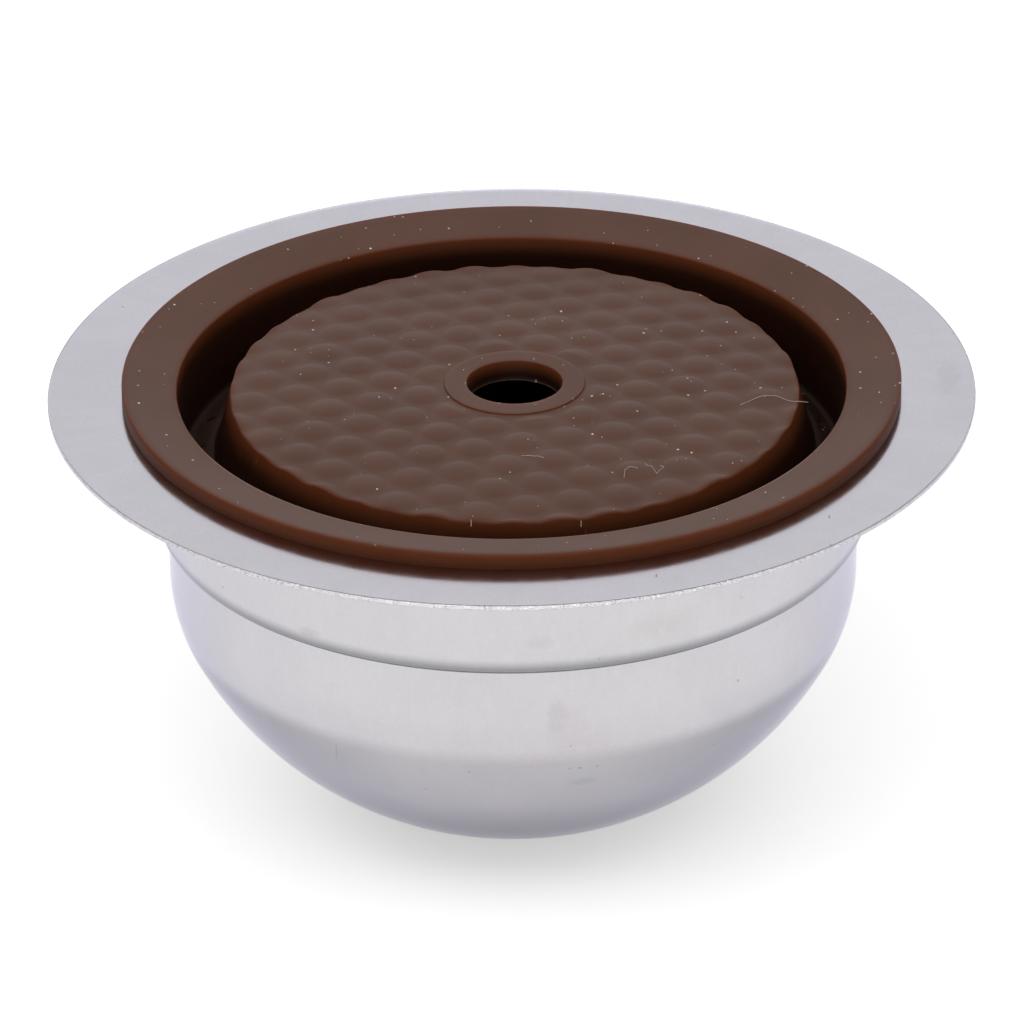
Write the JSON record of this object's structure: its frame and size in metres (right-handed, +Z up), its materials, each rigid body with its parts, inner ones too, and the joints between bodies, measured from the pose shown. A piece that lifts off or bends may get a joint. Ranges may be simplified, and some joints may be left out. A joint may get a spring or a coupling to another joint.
{
  "type": "coffee pod",
  "caption": "Refillable coffee pod: drawn steel capsule with a wide flange, a stepped wall and a domed foot, closed by a brown silicone lid with a bumpy, gently swelled plateau, a deep groove and a needle hole.",
  "frame": {"origin": "middle of the capsule's flat foot, on the surface that it stands on", "axes": "+Z up along the capsule's axis of turn, from the foot to the lid; X and Y are any two directions across it"},
  "size_m": [0.06, 0.06, 0.0302],
  "materials": {
    "steel": "satin, as drawn",
    "silicone": "matt moulded, dark brown, slightly translucent at thin edges"
  },
  "bodies": {
    "root": {"capsule_body": "steel", "silicone_lid": "silicone"}
  },
  "joints": []
}
